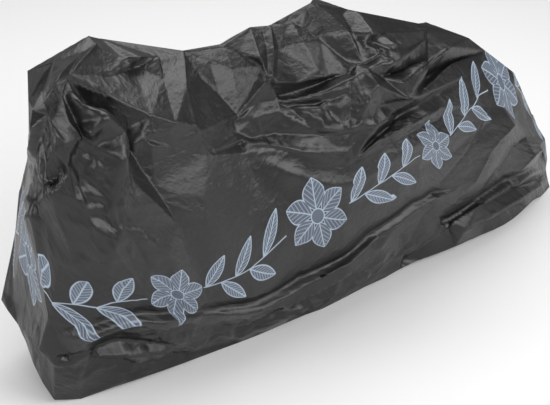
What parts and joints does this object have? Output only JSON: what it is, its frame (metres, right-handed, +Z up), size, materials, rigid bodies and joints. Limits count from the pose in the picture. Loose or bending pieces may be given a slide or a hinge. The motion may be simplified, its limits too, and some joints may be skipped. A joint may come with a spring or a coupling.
{
  "type": "bicycle cover",
  "caption": "Draped weather cover for a bicycle: one hollow bag of thin dark film, open underneath, with tension folds and tucks above its hem.",
  "frame": {"origin": "the place under the top of the film where the bicycle's saddle carries the cover", "axes": "+Z up, +X to the rear of the bicycle, -Y to the near side"},
  "size_m": [2.0949, 0.618, 0.9909],
  "materials": {
    "film": "thin charcoal polyethylene film with a satin gloss, fine crinkles and a pale print"
  },
  "bodies": {
    "root": {"cover_film": "film"}
  },
  "joints": []
}
